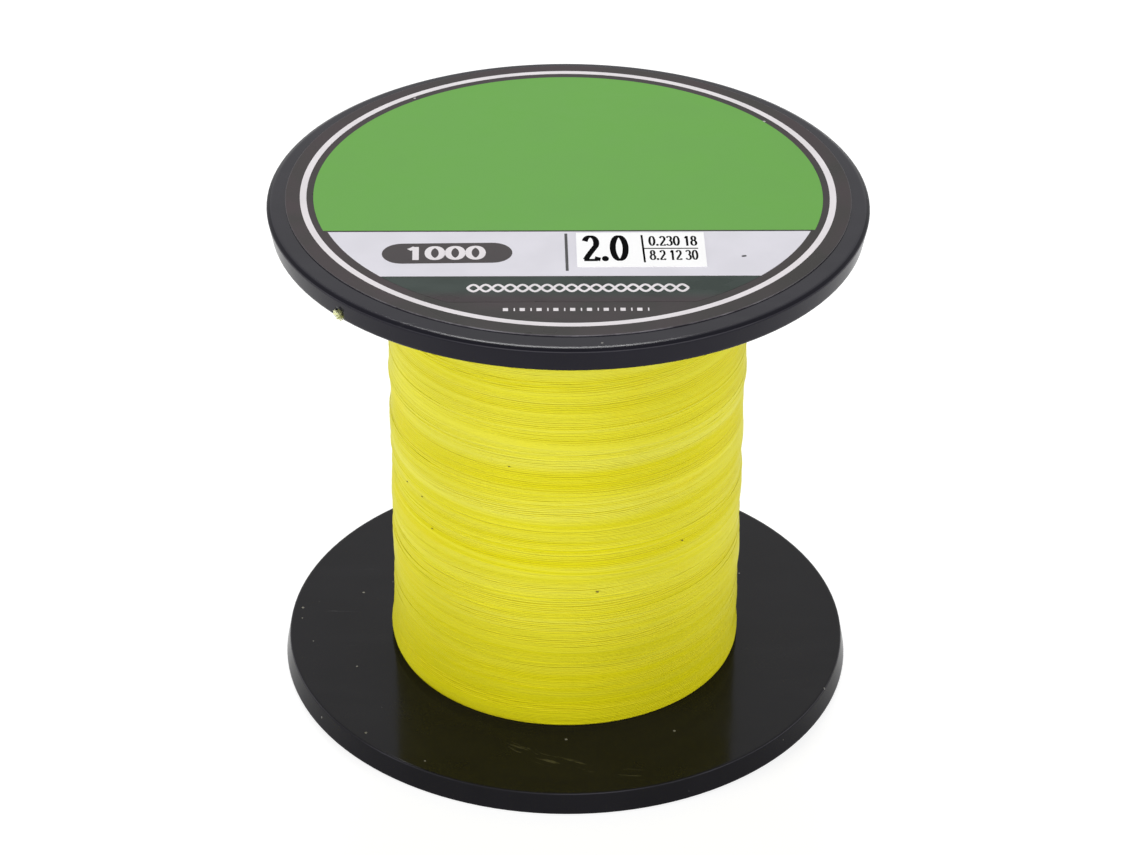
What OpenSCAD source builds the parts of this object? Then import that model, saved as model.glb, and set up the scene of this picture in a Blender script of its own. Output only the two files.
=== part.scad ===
// Bulk spool of braided fishing line: two turned-over copies of one flange
// moulding on a barrel, a spindle tube through the hubs, and the wound line.
// Z is the spool's axis, the lower rim stands on z = 0, and the label reads
// along +X when it is seen from -Y.

/* [Spool] */
// Diameter over the rims of the flanges
flange_d = 90; // [84:1:110]
// Height over both flanges, without the label
spool_h = 82; // [60:1:120]

/* [Flange] */
// Thickness of a flange at its rim
flange_t = 3.75; // [3.3:0.05:5]
// Thickness of the plate on the line side
web_t = 1.6; // [1.2:0.1:2]
// Width of the solid rim
rim_w = 4.4; // [3:0.1:6]
// How much the rim's radius drops from its outer face to the line side
rim_draft = 0.65; // [0.2:0.05:1]
// Width of the bevelled shoulder round the outer face
shoulder_w = 0.7; // [0.4:0.1:1.2]
// Height of the bevelled shoulder
shoulder_h = 0.35; // [0.2:0.05:0.8]
// Radius of the shoulder's two edges
shoulder_edge_r = 0.2; // [0.05:0.05:0.3]
// Radius of the rim's edge on the line side
line_edge_r = 0.25; // [0.1:0.05:0.5]
// Number of radial ribs in the recess
rib_count = 16; // [8:4:24]
// Thickness of a rib
rib_t = 1.3; // [0.8:0.1:2]
// Width of the round rib over the barrel seat
ring_rib_w = 1.8; // [1.2:0.1:2.5]

/* [Hub] */
// Diameter of the winding spindle's bore
spindle_d = 10.2; // [8:0.1:12]
// Wall of the spindle tube
tube_wall = 1.9; // [1.4:0.1:2.5]
// Wall of the hub round the spindle tube
hub_wall = 2; // [1.5:0.1:2.5]
// Height of the hub above the plate, inside the barrel
hub_h = 8; // [5:0.5:12]
// Thickness of the lip that keeps the spindle tube in
lip_t = 1; // [0.6:0.1:1.4]
// Number of kidney-shaped windows round the hub
window_count = 4; // [3:1:5]
// Width of the solid plate between two windows
spoke_w = 3.4; // [2:0.1:6]

/* [Barrel] */
// Outer diameter of the barrel
barrel_d = 51; // [46:0.5:56]
// Wall of the barrel
barrel_wall = 1.8; // [1.4:0.1:2.5]
// Height of the flange's spigot inside the barrel
spigot_h = 6; // [4:0.5:10]
// Wall of the spigot
spigot_wall = 1.5; // [1.2:0.1:2]
// How far the spigot's snap bead stands out
bead_h = 0.3; // [0.2:0.05:0.5]
// Number of keys that stop a flange turning on the barrel
key_count = 3; // [2:1:6]
// Width of a key
key_w = 3; // [2:0.5:5]
// Height of a key
key_h = 2.2; // [1.5:0.1:3]

/* [End cap and label] */
// Thickness of the cap that closes the upper recess
cap_t = 1; // [0.6:0.1:1.4]
// Width of the rim that the label leaves bare
label_margin = 2.75; // [2.3:0.05:2.9]
// Thickness of the label
label_t = 0.15; // [0.1:0.05:0.4]
// How far the label lies off centre, away from the reader
label_off = 1; // [0:0.1:1.2]
// Width of the small size sticker on the label
sticker_w = 18.7; // [12:0.1:20]
// Height of the small size sticker
sticker_h = 10.1; // [6:0.1:11]
// How far right of the label's centre the sticker lies
sticker_x = 10.6; // [6:0.1:14]
// How far in front of the label's centre the sticker lies
sticker_y = 17.8; // [14:0.1:20]
// How many degrees the sticker is turned, as it was put on by hand
sticker_turn = 1.3; // [-5:0.1:5]
// Thickness of the small size sticker
sticker_t = 0.1; // [0.05:0.05:0.2]

/* [Line] */
// Thickness of the wound line on the barrel
line_build = 2.1; // [1.8:0.1:5]
// Thickness of the line itself
line_d = 0.2; // [0.16:0.02:0.4]
// Turns of the outer layer, each one a band of line
band_turns = 23.5; // [15.5:1:23.5]
// Thickness of a band
band_t = 0.9; // [0.6:0.1:1]
// Open gap between one turn of the band and the next
band_gap = 0.44; // [0.42:0.02:0.8]
// Compass angle of the notch that holds the loose end
notch_a = -136.6; // [-180:0.1:180]
// Width of the notch
notch_w = 1.3; // [0.5:0.1:1.6]
// Depth of the notch into the rim
notch_h = 1.7; // [0.8:0.1:2]
// Length of the notch along the radius
notch_l = 2.4; // [1.5:0.1:3]

/* [Hidden] */
$fn = 96;

press = 0.05;       // clearance of a push fit
slip = 0.1;         // clearance of a loose fit
eps = 0.01;         // how far a cut runs past the face that it opens
root = 0.2;         // how far a rib's end goes into the wall that holds it
land = 0.8;         // plate left between a window and the wall beside it
cap_bevel = 0.3;    // bevel that leads the cap into its recess
arc_steps = 6;      // straight steps in the round of an edge

black = [0.16, 0.16, 0.18];
print_black = [0.27, 0.25, 0.25];
yellow = [0.86, 0.84, 0.22];

// Radii and levels of a flange, whose outer face lies on z = 0
flange_r = flange_d / 2;
recess_r = flange_r - rim_w;
line_r = flange_r - rim_draft;
web_z = flange_t - web_t;
seat_z = cap_t;

// Fits of the hub, the spindle tube and the barrel
tube_r = spindle_d / 2 + tube_wall;
hub_r = tube_r + press + hub_wall;
lip_r = spindle_d / 2 + tube_wall / 4;
tube_z = seat_z + lip_t;
barrel_r = barrel_d / 2;
barrel_bore_r = barrel_r - barrel_wall;
spigot_r = barrel_bore_r - press;
spigot_bore_r = spigot_r - spigot_wall;
bead_z = flange_t + spigot_h - 2 * bead_h;
ring_rib_r = barrel_r - barrel_wall / 2;
key_set = 0.5;      // how far a key stops short of the barrel's outside

// The kidney windows lie between the hub and the spigot
window_in = hub_r + land;
window_out = spigot_bore_r - land;
window_r = (window_in + window_out) / 2;
window_w = window_out - window_in;
window_half_a = 180 / window_count
    - asin((window_w + spoke_w) / 2 / window_r);

// The label lies on the cap and on the inner part of the rim
cap_r = recess_r - slip;
label_r = flange_r - label_margin;

// The wound line fills the room between the two plates
line_z0 = flange_t;
line_z1 = spool_h - flange_t;
end_gap = 0.15;
seat_gap = 0.3;
winding_r = barrel_r + line_build;
band_r = winding_r - band_t / 2;
core_r = winding_r - band_t - seat_gap;
winding_h = line_z1 - line_z0 - 2 * end_gap;
band_w = (winding_h - band_turns * band_gap) / (band_turns + 1);
band_flat = 0.62;   // share of a band's width that its flat sides take
band_pitch = band_w + band_gap;
band_z0 = line_z0 + end_gap + band_w / 2;
rings_per_turn = 24;
band_sides = 6;

// The loose end leaves the winding on a tangent that meets the notch
notch_in_r = line_r - notch_l;
entry_r = notch_in_r + 0.3 * notch_l;
notch_z = line_z1 + 0.6 * notch_h;
band_end_a = notch_a - acos(band_r / entry_r);
band_end_z = band_z0 + band_turns * band_pitch;
tangent_l = sqrt(entry_r * entry_r - band_r * band_r);
tag_l = 1.1;        // length of the loose end outside the rim

// A strip of tape holds the line's first turn on the barrel
tape_t = 0.06;
tape_w = 12;
tape_a = 50;
tape_z = line_z0 + 4;

function polar(r, a, z) = [r * cos(a), r * sin(a), z];
function unit(v) = v / norm(v);

// Round of radius r at a profile's corner b, between its corners a and c
function rounded(a, b, c, r) =
    let (u = unit(a - b), v = unit(c - b), half = acos(u * v) / 2,
         centre = b + r / sin(half) * unit(u + v),
         from = b + r / tan(half) * u - centre,
         to = b + r / tan(half) * v - centre)
    [for (i = [0:arc_steps])
        let (t = i / arc_steps)
        centre + r * unit((1 - t) * from + t * to)];

// Triangles that join a row of rings into one closed tube
function tube_faces(rings, sides) = concat(
    [for (i = [0:rings - 2], j = [0:sides - 1])
        let (a = i * sides + j, b = i * sides + (j + 1) % sides)
        each [[a, a + sides, b], [b, a + sides, b + sides]]],
    [for (j = [1:sides - 2]) [0, j, j + 1]],
    [for (j = [1:sides - 2])
        let (k = (rings - 1) * sides) [k, k + j + 1, k + j]]);

// One section of the flat band at turn angle a, from its lower edge inwards,
// moved ahead along the tangent
function band_ring(a, z, ahead = 0) =
    let (u = band_w / 2, v = band_t / 2, f = band_flat * u)
    [for (p = [[0, -u], [-v, -f], [-v, f], [0, u], [v, f], [v, -f]])
        polar(band_r + p[0], a, z + p[1]) + ahead * [-sin(a), cos(a), 0]];

// The band's rings, with an end that runs straight for the band's width at
// each side, on the same slope as the turns
band_steps = band_turns * rings_per_turn;
lead_rise = band_pitch * band_w / (2 * PI * band_r);
band_rings = concat(
    [band_ring(band_end_a - 360 * band_turns, band_z0 - lead_rise, -band_w)],
    [for (i = [0:band_steps])
        band_ring(band_end_a - 360 * (band_turns - i / rings_per_turn),
                  band_z0 + i * band_pitch / rings_per_turn)],
    [band_ring(band_end_a, band_end_z + lead_rise, band_w)]);

// Least distance from the upper edge of a turn to the lower edge of the next
least_gap = min([
    for (i = [0:len(band_rings) - 1],
         j = [i + rings_per_turn - 2:i + rings_per_turn + 2])
        if (j < len(band_rings)) norm(band_rings[j][0] - band_rings[i][3])]);
echo(str("least gap between turns of the winding: ", least_gap, " mm"));

// The loose end: out of the band on the tangent, under the plate, up into
// the notch, out through the rim and down
function on_tangent(s, z) = polar(band_r, band_end_a, z)
    + s * [-sin(band_end_a), cos(band_end_a), 0];
under_z = line_z1 - line_d / 2 - slip;
end_route = [
    on_tangent(band_w, band_end_z + lead_rise),
    on_tangent(band_w + 1, band_end_z + lead_rise),
    on_tangent(tangent_l / 2, (band_end_z + under_z) / 2),
    on_tangent(tangent_l - 1.2, under_z),
    polar(entry_r, notch_a, under_z),
    polar(entry_r + 0.3 * notch_l, notch_a, notch_z),
    polar(line_r, notch_a, notch_z),
    polar(line_r + rim_draft, notch_a, notch_z - 0.25 * tag_l),
    polar(line_r + rim_draft, notch_a, notch_z - tag_l)];

// A smooth line that starts and ends on the route and turns at its corners,
// each turn a curve from the middle of one stretch to the middle of the next
turn_steps = 6;
end_sides = 8;
function turn_at(a, b, c, t) = (1 - t) * (1 - t) * (a + b) / 2
    + 2 * t * (1 - t) * b + t * t * (b + c) / 2;
function smooth(p) = let (n = len(p) - 1) concat(
    [p[0]],
    [for (i = [1:n - 1], k = [0:turn_steps])
        if (k < turn_steps || i == n - 1)
            turn_at(p[i - 1], p[i], p[i + 1], k / turn_steps)],
    [p[n]]);
end_line = smooth(end_route);
// Lies along no stretch of the route, so every ring can turn from it
ring_aim = polar(1, notch_a + 70, 0.35);
function line_ring(i) =
    let (along = unit(end_line[min(i + 1, len(end_line) - 1)]
                      - end_line[max(i - 1, 0)]),
         side = unit(cross(along, ring_aim)), up = cross(side, along))
    [for (j = [0:end_sides - 1])
        let (a = -360 * j / end_sides)
        end_line[i] + line_d / 2 * (cos(a) * side + sin(a) * up)];
end_rings = [for (i = [0:len(end_line) - 1]) line_ring(i)];

module ring(r_out, r_in, z0, z1) {
    translate([0, 0, z0]) difference() {
        cylinder(r = r_out, h = z1 - z0);
        translate([0, 0, -eps]) cylinder(r = r_in, h = z1 - z0 + 2 * eps);
    }
}

// Rim and plate, turned about the axis
module rim_and_plate() {
    recess = [recess_r, 0];
    flat_end = [flange_r - shoulder_w, 0];
    widest = [flange_r, shoulder_h];
    line_edge = [line_r, flange_t];
    middle = [0, flange_t];
    rotate_extrude() polygon(concat(
        [[0, web_z], [recess_r, web_z], recess],
        rounded(recess, flat_end, widest, shoulder_edge_r),
        rounded(flat_end, widest, line_edge, shoulder_edge_r),
        rounded(widest, line_edge, middle, line_edge_r),
        [middle]));
}

// Spigot with a snap bead, which holds the barrel
module spigot() {
    rotate_extrude() polygon([
        [spigot_bore_r, flange_t - eps], [spigot_r, flange_t - eps],
        [spigot_r, bead_z - 2 * bead_h], [spigot_r + bead_h, bead_z - bead_h],
        [spigot_r + bead_h, bead_z], [spigot_r, flange_t + spigot_h - bead_h / 2],
        [spigot_r - bead_h, flange_t + spigot_h],
        [spigot_bore_r, flange_t + spigot_h]]);
}

module keys(w, h, r_out) {
    for (i = [0:key_count - 1])
        rotate(360 * i / key_count)
            translate([spigot_r - spigot_wall / 2, -w / 2, flange_t - eps])
                cube([r_out - spigot_r + spigot_wall / 2, w, h + eps]);
}

// Through cut of one kidney window, with round ends
module window() {
    translate([0, 0, web_z - eps]) {
        rotate(-window_half_a) rotate_extrude(angle = 2 * window_half_a)
            translate([window_in, 0]) square([window_w, web_t + 2 * eps]);
        for (a = [-window_half_a, window_half_a])
            rotate(a) translate([window_r, 0, 0])
                cylinder(d = window_w, h = web_t + 2 * eps);
    }
}

module ribs() {
    for (i = [0:rib_count - 1])
        rotate(360 * (i + 0.5) / rib_count)
            translate([ring_rib_r, -rib_t / 2, seat_z])
                cube([recess_r - ring_rib_r + root, rib_t, web_z - seat_z + eps]);
    for (i = [0:window_count - 1])
        rotate(360 * (i + 0.5) / window_count)
            translate([hub_r - root, -rib_t / 2, seat_z])
                cube([ring_rib_r - hub_r + root, rib_t, web_z - seat_z + eps]);
    ring(ring_rib_r + ring_rib_w / 2, ring_rib_r - ring_rib_w / 2,
         seat_z, web_z + eps);
}

// One flange moulding, with its outer face on z = 0 and the barrel above it
module flange() {
    difference() {
        union() {
            rim_and_plate();
            spigot();
            keys(key_w, key_h, barrel_r - key_set);
            ribs();
            translate([0, 0, seat_z])
                cylinder(r = hub_r, h = flange_t + hub_h - seat_z);
        }
        for (i = [0:window_count - 1]) rotate(360 * i / window_count) window();
        translate([0, 0, tube_z])
            cylinder(r = tube_r + press, h = flange_t + hub_h);
        translate([0, 0, -eps]) cylinder(r = lip_r, h = spool_h);
    }
}

module lower_flange() {
    color(black) flange();
}

module upper_flange() {
    color(black) difference() {
        translate([0, 0, spool_h]) rotate([180, 0, 0]) flange();
        // The packer's notch for the loose end
        rotate(notch_a) translate([notch_in_r, -notch_w / 2, line_z1 - eps])
            cube([notch_l + 2 * rim_draft, notch_w, notch_h + eps]);
    }
}

// Tube with a snap groove and key slots at both ends
module barrel() {
    groove_r = barrel_bore_r + bead_h + press;
    past = barrel_bore_r - bead_h;
    color(black) difference() {
        ring(barrel_r, barrel_bore_r, line_z0, line_z1);
        for (m = [0, 1])
            translate([0, 0, m * spool_h]) rotate([180 * m, 0, 0]) {
                rotate_extrude() polygon([
                    [past, bead_z - 2 * bead_h - press],
                    [barrel_bore_r, bead_z - 2 * bead_h - press],
                    [groove_r, bead_z - bead_h - press],
                    [groove_r, bead_z + press],
                    [barrel_bore_r, bead_z + bead_h + 2 * press],
                    [past, bead_z + bead_h + 2 * press]]);
                keys(key_w + 2 * slip, key_h + slip, barrel_r + key_set);
            }
    }
}

module spindle_tube() {
    color(black)
        ring(tube_r, spindle_d / 2, tube_z, spool_h - tube_z);
}

// Disc in the upper recess, on the ribs, flush with the rim
module end_cap() {
    color(black) translate([0, 0, spool_h - cap_t]) rotate_extrude() polygon([
        [0, 0], [cap_r - cap_bevel, 0], [cap_r, cap_bevel], [cap_r, cap_t],
        [0, cap_t]]);
}

module label() {
    color(print_black) translate([0, label_off, spool_h])
        cylinder(r = label_r, h = label_t);
}

module size_sticker() {
    color("white")
        translate([sticker_x, label_off - sticker_y, spool_h + label_t])
            rotate(sticker_turn) translate([-sticker_w / 2, -sticker_h / 2, 0])
                cube([sticker_w, sticker_h, sticker_t]);
}

// A patch of the barrel's surface, of a height and an angle
module barrel_patch(z0, z1, half_a, t) {
    rotate(-half_a) rotate_extrude(angle = 2 * half_a)
        translate([barrel_r, z0]) square([t, z1 - z0]);
}

module starter_tape() {
    color("ivory")
        barrel_patch(tape_z, tape_z + tape_w, tape_a / 2, tape_t);
}

// The inner layers, as one plain core with room for the tape
module line_core() {
    color(yellow) difference() {
        ring(core_r, barrel_r, line_z0, line_z1);
        barrel_patch(tape_z - slip, tape_z + tape_w + slip, tape_a / 2 + 0.5,
                     tape_t + slip);
    }
}

// The outer layer, one unbroken band of line wound from the bottom up
module line_winding() {
    color(yellow) polyhedron([for (r = band_rings) each r],
                             tube_faces(len(band_rings), band_sides));
}

// The line's loose end, from the winding to the notch and out
module line_end() {
    color(yellow) polyhedron([for (r = end_rings) each r],
                             tube_faces(len(end_rings), end_sides));
}

lower_flange();
upper_flange();
barrel();
spindle_tube();
end_cap();
label();
size_sticker();
starter_tape();
line_core();
line_winding();
line_end();
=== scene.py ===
import math

import bpy
import numpy as np
from mathutils import Matrix, Vector


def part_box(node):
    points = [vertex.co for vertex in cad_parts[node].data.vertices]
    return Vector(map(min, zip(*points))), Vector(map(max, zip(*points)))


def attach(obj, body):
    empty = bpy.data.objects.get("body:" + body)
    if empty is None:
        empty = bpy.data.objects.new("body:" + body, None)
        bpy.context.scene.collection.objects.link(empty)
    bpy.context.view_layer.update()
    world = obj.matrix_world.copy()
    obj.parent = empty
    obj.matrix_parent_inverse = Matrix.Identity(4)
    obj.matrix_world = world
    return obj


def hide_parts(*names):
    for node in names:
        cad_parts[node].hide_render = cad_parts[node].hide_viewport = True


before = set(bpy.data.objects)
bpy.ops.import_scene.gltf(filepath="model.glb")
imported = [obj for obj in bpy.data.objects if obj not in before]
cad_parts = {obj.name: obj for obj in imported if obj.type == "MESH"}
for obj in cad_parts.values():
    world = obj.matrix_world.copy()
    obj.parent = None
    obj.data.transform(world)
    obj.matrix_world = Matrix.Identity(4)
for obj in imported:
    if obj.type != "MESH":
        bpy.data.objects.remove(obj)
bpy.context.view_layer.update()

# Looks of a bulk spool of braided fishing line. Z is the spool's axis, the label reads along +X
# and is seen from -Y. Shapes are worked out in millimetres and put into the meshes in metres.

MM = 0.001
TAU = 2 * math.pi


def reach(node):
    """Lowest and highest corner of a CAD node, in mm."""
    low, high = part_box(node)
    return np.array(low) / MM, np.array(high) / MM


# Sizes that the frame gives, in mm
barrel_low, barrel_high = reach("barrel")
label_low, label_high = reach("label")
RIM_R, RIM_TOP = reach("upper_flange")[1][[0, 2]]
LINE_Z0, LINE_Z1 = barrel_low[2], barrel_high[2]    # the flanges' line sides
BARREL_R = barrel_high[0]
WINDING_R = reach("line_winding")[1][0]
LABEL_TOP = label_high[2]
STICKER_TOP = reach("size_sticker")[1][2]

# The line and how it lies, in mm
LINE_R = 0.137            # half the width of the line, which lies flattened
LINE_FLAT = 0.72          # its thickness against its width
TURN_PITCH = 0.25         # climb of one turn of the outer layer
END_ROOM = 0.16           # room left between the winding and a flange
TURN_STEPS = 84           # straight steps in one turn
SIDES = 6                 # sides of its section
BED_R = WINDING_R - 0.12  # radius that the outer layer lies on
START_A = math.radians(-100)      # where the outer layer's first turn starts
PICK = 0.34               # length of one pick of the braid

# Print on the label, in mm. Its fields and its rows of marks are laid out about the ring's centre
# and turned with it. Pill, divider and numbers have their places on the spool.
PRINT_CENTRE = np.array([-0.03, 1.29])
PRINT_TURN = math.radians(1.05)   # the print isn't quite square to the spool
RING_OUT, RING_IN = 40.06, 39.08  # white ring
FIELD_R = 37.6                    # round field inside the ring
GREEN_R, GREEN_LOW = 38.05, -12.15          # green field: its radius and its straight edge
GREEN_DROP = 0.2                  # how far its centre lies below the ring's
PALE_BAND = (-25.85, -12.75)      # lower and upper edge of each band
SHADED_BAND = (-33.2, -26.0)
PILL_TURN = math.radians(2.0)
STICKER_TURN = math.radians(1.3)
STICKER_INK = 0.004               # how far the sticker's ink stands above it
PRINT_T = 0.018                   # thickness of the ink that shows above the label
PRINT_SUNK = 0.02                 # how far an ink piece goes into the label
LAYER_T = 0.012                   # how far one layer of ink stands over the next lower one
FACE_STEP = 0.001                 # keeps the tops of inks that cross out of one plane

rng = np.random.default_rng(26)


# ---------------------------------------------------------------- meshes

def put(name, verts, faces, smooth=True):
    """Object with a mesh of these corners (mm) and faces, which rides on the spool."""
    mesh = bpy.data.meshes.new(name)
    mesh.from_pydata((np.asarray(verts) * MM).tolist(), [], faces)
    mesh.polygons.foreach_set("use_smooth", [smooth] * len(mesh.polygons))
    mesh.update()
    piece = bpy.data.objects.new(name, mesh)
    bpy.context.scene.collection.objects.link(piece)
    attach(piece, "root")
    return piece


def grid_quads(rows, cols, close_rows=False):
    """Quads of a grid of corners, numbered row by row. Each row is a closed section. With
    close_rows the last row meets the first one."""
    index = np.arange(rows * cols).reshape(rows, cols)
    if close_rows:
        index = np.vstack([index, index[:1]])
    index = np.hstack([index, index[:, :1]])
    return np.stack([index[:-1, :-1], index[:-1, 1:], index[1:, 1:], index[1:, :-1]],
                    axis=-1).reshape(-1, 4)


def tube_faces(rows, cols):
    """Faces of a tube: the quads between its rows, and a cap on each end."""
    first = list(range(cols))[::-1]
    last = list(range((rows - 1) * cols, rows * cols))
    return grid_quads(rows, cols).tolist() + [first, last]


def polar(radius, angle, z):
    """Points at a radius and an angle round the spool's axis."""
    radius, angle, z = np.broadcast_arrays(radius, angle, z)
    return np.stack([radius * np.cos(angle), radius * np.sin(angle), z], axis=-1)


def unit(vectors):
    """Vectors of length one along the last axis."""
    return vectors / np.linalg.norm(vectors, axis=-1, keepdims=True)


def thread(path, out, radius, sides=SIDES, flat=1.0):
    """Rings of a thin line: each path point plus its radius times (flat * cos a * side + sin a
    * up), where side is the part of out that is square to the path, and up is square to both."""
    along = unit(np.gradient(path, axis=0))
    side = unit(out - np.sum(out * along, axis=-1, keepdims=True) * along)
    up = np.cross(along, side)
    a = np.arange(sides) * TAU / sides
    radius = np.broadcast_to(radius, len(path))[:, None, None]
    return path[:, None] + radius * (flat * np.cos(a)[:, None] * side[:, None]
                                     + np.sin(a)[:, None] * up[:, None])


def strand(path, out, radius, sides=SIDES):
    """Corners and faces of one closed strand of line."""
    rings = thread(path, out, radius, sides)
    return rings.reshape(-1, 3), tube_faces(len(path), sides)


def sizes_along(path):
    """Length of the path from its start to each point."""
    steps = np.linalg.norm(np.diff(path, axis=0), axis=1)
    return np.concatenate([[0], np.cumsum(steps)])


def add_lay(piece, path, sides=SIDES):
    """UV map of a thread: U is the length along it in mm, V goes once round it. A quad's late
    corners are those whose column comes next, so past the last column V goes on to 1."""
    mesh = piece.data
    length = sizes_along(path)
    corners = np.empty(len(mesh.loops), dtype=int)
    mesh.loops.foreach_get("vertex_index", corners)
    row, col = corners // sides, corners % sides
    quads = 4 * (len(path) - 1) * sides
    late = np.zeros(len(corners), dtype=bool)
    late[:quads] = np.tile([False, True, True, False], (len(path) - 1) * sides)
    around = (col + (late & (col == 0)) * sides) / sides
    uv = np.stack([length[row], around], axis=1)
    mesh.uv_layers.new(name="lay").data.foreach_set("uv", uv.ravel())


def add_tone(piece, tone):
    """Point attribute that makes one stretch of line a little lighter than another."""
    piece.data.attributes.new("tone", "FLOAT", "POINT").data.foreach_set("value", tone.ravel())


def join(parts):
    """Corners and faces of several (corners, faces) parts as one mesh's."""
    verts, faces, start = [], [], 0
    for corners, part_faces in parts:
        verts.append(corners)
        faces += [[start + i for i in face] for face in part_faces]
        start += len(corners)
    return np.concatenate(verts), faces


def prism(outline, z0, z1):
    """Corners and faces of a closed plate between two levels, from an outline that runs
    anticlockwise seen from above."""
    n = len(outline)
    low = np.column_stack([outline, np.full(n, z0)])
    high = np.column_stack([outline, np.full(n, z1)])
    sides = [[i, (i + 1) % n, n + (i + 1) % n, n + i] for i in range(n)]
    return np.vstack([low, high]), sides + [list(range(n))[::-1], list(range(n, 2 * n))]


# ---------------------------------------------------------------- materials

ONE_WAVE = 0.314    # scale at which a wave texture has one wave in each unit of length
# Colours on the black mouldings: grey dust and olive scuffs that wear gives them, a pale painted
# highlight along an edge, and a painted dark reflection on a bevel
DUST_GREY = (0.30, 0.29, 0.27, 1)
PAINTED_EDGE_HIGHLIGHT = (0.055, 0.053, 0.064, 1)
SCUFFED_FACE = (0.062, 0.057, 0.034, 1)
PAINTED_DARK_REFLECTION = (0.003, 0.003, 0.005, 1)
# Where the scuffs on the lower flange fade in and out: radius in mm, angle in radians
SCUFF_RADII = (36.8, 38.0, 39.4, 40.4)
SCUFF_ANGLES = (-1.88, -1.75, -1.35, -1.22)


def node(tree, kind, feeds=None, **settings):
    """A node with its settings, and a value or another node's output for each input."""
    made = tree.nodes.new("ShaderNode" + kind)
    for key, value in settings.items():
        setattr(made, key, value)
    for key, value in (feeds or {}).items():
        if isinstance(value, bpy.types.NodeSocket):
            tree.links.new(value, made.inputs[key])
        else:
            made.inputs[key].default_value = value
    return made


def maths(tree, operation, a, b=0.0, clamp=False):
    """Output of a Math node."""
    return node(tree, "Math", {0: a, 1: b}, operation=operation, use_clamp=clamp).outputs[0]


def noise(tree, where, scale, detail=3.0, roughness=0.5, distortion=0.0):
    """Output of a Noise Texture, from 0 to 1."""
    return node(tree, "TexNoise", {"Vector": where, "Scale": scale, "Detail": detail,
                                   "Roughness": roughness, "Distortion": distortion}).outputs[0]


def ramp(tree, factor, low, high, out_low=0.0, out_high=1.0, smooth=True):
    """Map Range: factor from low to high gives out_low to out_high."""
    return node(tree, "MapRange", {0: factor, 1: low, 2: high, 3: out_low, 4: out_high},
                interpolation_type="SMOOTHSTEP" if smooth else "LINEAR").outputs[0]


def blend(tree, factor, first, second):
    """Colour that goes from first to second with the factor."""
    mix = tree.nodes.new("ShaderNodeMix")
    mix.data_type = "RGBA"
    for key, value in ((0, factor), (6, first), (7, second)):
        if isinstance(value, bpy.types.NodeSocket):
            tree.links.new(value, mix.inputs[key])
        else:
            mix.inputs[key].default_value = value
    return mix.outputs[2]


def place(tree, scale=(1, 1, 1), turn=(0, 0, 0), move=(0, 0, 0)):
    """Object coordinates, moved, turned and scaled."""
    where = node(tree, "TexCoord").outputs["Object"]
    return node(tree, "Mapping", {"Vector": where, "Scale": scale, "Rotation": turn,
                                  "Location": move}).outputs[0]


def bump(tree, height, distance, strength=1.0, below=None):
    """Normal of a bumpy surface of a depth in metres, laid over another one."""
    feeds = {"Height": height, "Distance": distance, "Strength": strength}
    if below is not None:
        feeds["Normal"] = below
    return node(tree, "Bump", feeds).outputs[0]


def linear(r, g, b):
    """Linear colour of an 8-bit display colour."""
    def one(c):
        c /= 255
        return c / 12.92 if c <= 0.04045 else ((c + 0.055) / 1.055) ** 2.4
    return one(r), one(g), one(b), 1.0


def shaded(colour, factor):
    """The colour, darker or lighter by a factor."""
    return tuple(c * factor for c in colour[:3]) + (1.0,)


def finish_of(name):
    """A new material with its node tree and its shader."""
    material = bpy.data.materials.new(name)
    material.use_nodes = True
    tree = material.node_tree
    return material, tree, tree.nodes["Principled BSDF"]


def wire(tree, shader, **links):
    """Links outputs to the shader's sockets, written with _ for a space."""
    for key, output in links.items():
        tree.links.new(output, shader.inputs[key.replace("_", " ")])


def specks(tree, where, scale, size, amount):
    """1 inside sparse small dots, 0 elsewhere: cells of a Voronoi texture, of which only those
    with a random value under amount hold a dot."""
    cells = node(tree, "TexVoronoi", {"Vector": where, "Scale": scale}, feature="F1")
    dot = maths(tree, "LESS_THAN", cells.outputs["Distance"], size)
    pick = node(tree, "SeparateColor", {0: cells.outputs["Color"]}).outputs[0]
    return maths(tree, "MULTIPLY", dot, maths(tree, "LESS_THAN", pick, amount))


def hairlines(tree, turn, stretch, scale, share):
    """Thin scratches: the upper share of a noise that is drawn out along one direction."""
    where = place(tree, scale=(stretch, 1, 1), turn=(0, 0, math.radians(turn)))
    return ramp(tree, noise(tree, where, scale, 2.0, 0.6, 0.3), 1 - share, 1 - share + 0.04)


def between(tree, where, low, high):
    """1 between two levels in mm, 0 outside them."""
    level = node(tree, "SeparateXYZ", {0: where}).outputs[2]
    soft = 0.05 * MM
    return maths(tree, "MULTIPLY", ramp(tree, level, low * MM, low * MM + soft),
                 ramp(tree, level, high * MM, high * MM - soft))


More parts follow.
